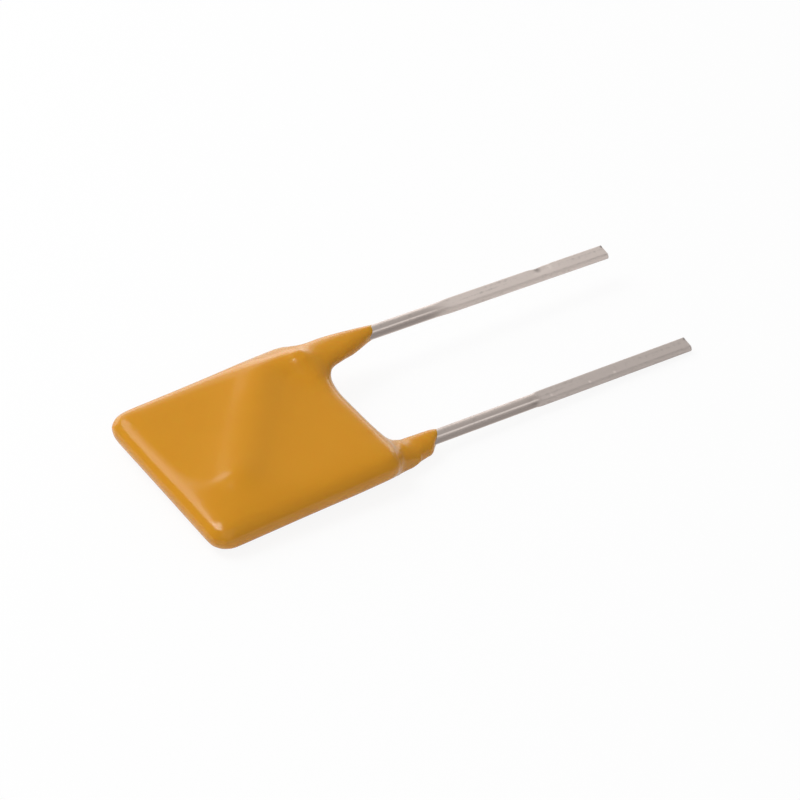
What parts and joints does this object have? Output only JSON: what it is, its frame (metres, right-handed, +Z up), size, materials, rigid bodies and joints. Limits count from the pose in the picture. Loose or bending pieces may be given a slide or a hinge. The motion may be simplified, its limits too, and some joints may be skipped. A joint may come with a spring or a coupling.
{
  "type": "resettable fuse",
  "caption": "Flat square resettable fuse in a dipped epoxy coat, with parallel wire leads from one edge; limits overcurrent on a circuit board and recovers when it cools",
  "frame": {"origin": "middle of the footprint, on the surface that the fuse lies on", "axes": "+Y along the leads from the body to their tips, +Z up through the flat body, +X across the leads"},
  "size_m": [0.0076, 0.0206, 0.0022],
  "materials": {
    "coating": "glossy dipped epoxy",
    "polymer": "matt carbon-filled polymer",
    "foil": "matt nickel",
    "solder": "reflowed solder",
    "lead": "tinned wire"
  },
  "bodies": {
    "root": {"epoxy_coating": "coating", "ptc_sheet": "polymer", "upper_foil": "foil", "lower_foil": "foil", "upper_solder": "solder", "lower_solder": "solder", "upper_lead": "lead", "lower_lead": "lead"}
  },
  "joints": []
}
